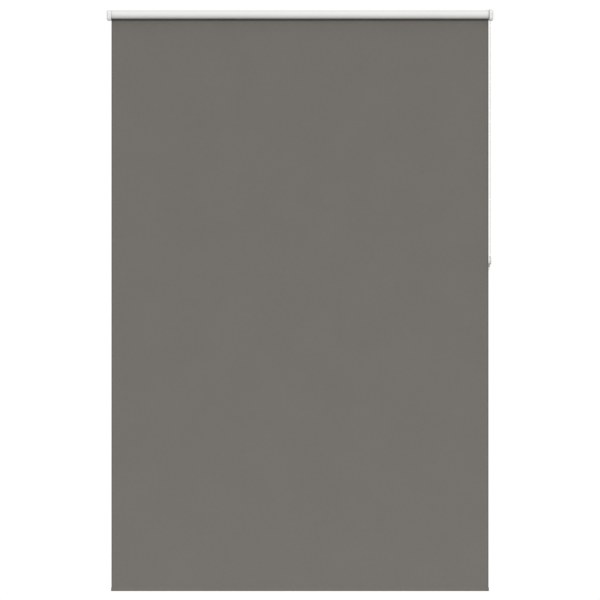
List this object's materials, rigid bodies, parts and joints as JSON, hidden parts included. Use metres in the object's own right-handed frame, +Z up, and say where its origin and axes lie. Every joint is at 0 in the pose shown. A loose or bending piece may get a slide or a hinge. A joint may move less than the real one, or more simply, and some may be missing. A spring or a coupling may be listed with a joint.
{
  "type": "roller blind",
  "caption": "Open back-roll roller blind with a plain coated cloth, end brackets with moulded covers, a side bead-chain clutch drive, a wall-fixed chain tensioner and a slat in the bottom hem.",
  "frame": {"origin": "middle of the four wall-screw holes, on the wall plane and level with the roller's axis", "axes": "+X along the roller to the chain side, +Y into the wall, +Z up"},
  "size_m": [1.4, 0.0504, 2.1079],
  "materials": {
    "blind_cloth": "flat taupe polyester weave, white coating on its back",
    "roll_coating": "white blackout coating, which faces outwards on the roll",
    "tape": "thin adhesive film",
    "cover_plastic": "satin white moulded plastic",
    "cap_plastic": "taupe moulded plastic",
    "chain_plastic": "glossy white moulded plastic",
    "chain_string": "white polyester string",
    "grey_plastic": "glass-filled nylon",
    "white_acetal": "acetal",
    "spindle_plastic": "dark glass-filled nylon",
    "bracket_steel": "white powder coat on steel sheet",
    "spring_steel": "bright spring steel",
    "tube_aluminium": "mill finish",
    "slat_aluminium": "mill finish"
  },
  "bodies": {
    "mounting": {"left_bracket": "bracket_steel", "left_cover": "cover_plastic", "right_bracket": "bracket_steel", "right_cover": "cover_plastic", "clutch_housing": "grey_plastic", "clutch_spindle": "spindle_plastic", "spindle_clip": "spring_steel", "chain_loop": "chain_plastic", "chain_on_wheel": "chain_string", "chain_tensioner": "chain_plastic", "fabric_panel": "blind_cloth"},
    "roller": {"roller_tube": "tube_aluminium", "fabric_tape": "tape", "fabric_roll": "roll_coating", "idle_plug": "grey_plastic", "spring_stop": "grey_plastic", "drive_hub": "grey_plastic", "chain_wheel": "white_acetal", "wrap_spring_1": "spring_steel", "wrap_spring_2": "spring_steel"},
    "pin": {"idle_pin": "spindle_plastic", "idle_spring": "spring_steel"},
    "bottom_rail": {"hem": "blind_cloth", "bottom_slat": "slat_aluminium", "slat_cap_left": "cap_plastic", "slat_cap_right": "cap_plastic"}
  },
  "joints": [
    {"name": "tube_spin", "type": "hinge", "parent": "mounting", "child": "roller", "pos_m": [0, -0.028, 0], "axis": [1, 0, 0], "range_deg": [0, 6480]},
    {"name": "blind_lift", "type": "slide", "parent": "mounting", "child": "bottom_rail", "axis": [0, 0, 1], "range_m": [0, 2.0315], "deforming": ["fabric_panel"]},
    {"name": "idle_pin_slide", "type": "slide", "parent": "mounting", "child": "pin", "axis": [1, 0, 0], "range_m": [0, 0.007], "stiffness_N_per_m": 400, "springref_m": -0.004, "deforming": ["idle_spring"]}
  ],
  "couplings": [
    {"joint": "blind_lift", "follows": "tube_spin", "m_per_rad": 0.017958}
  ]
}
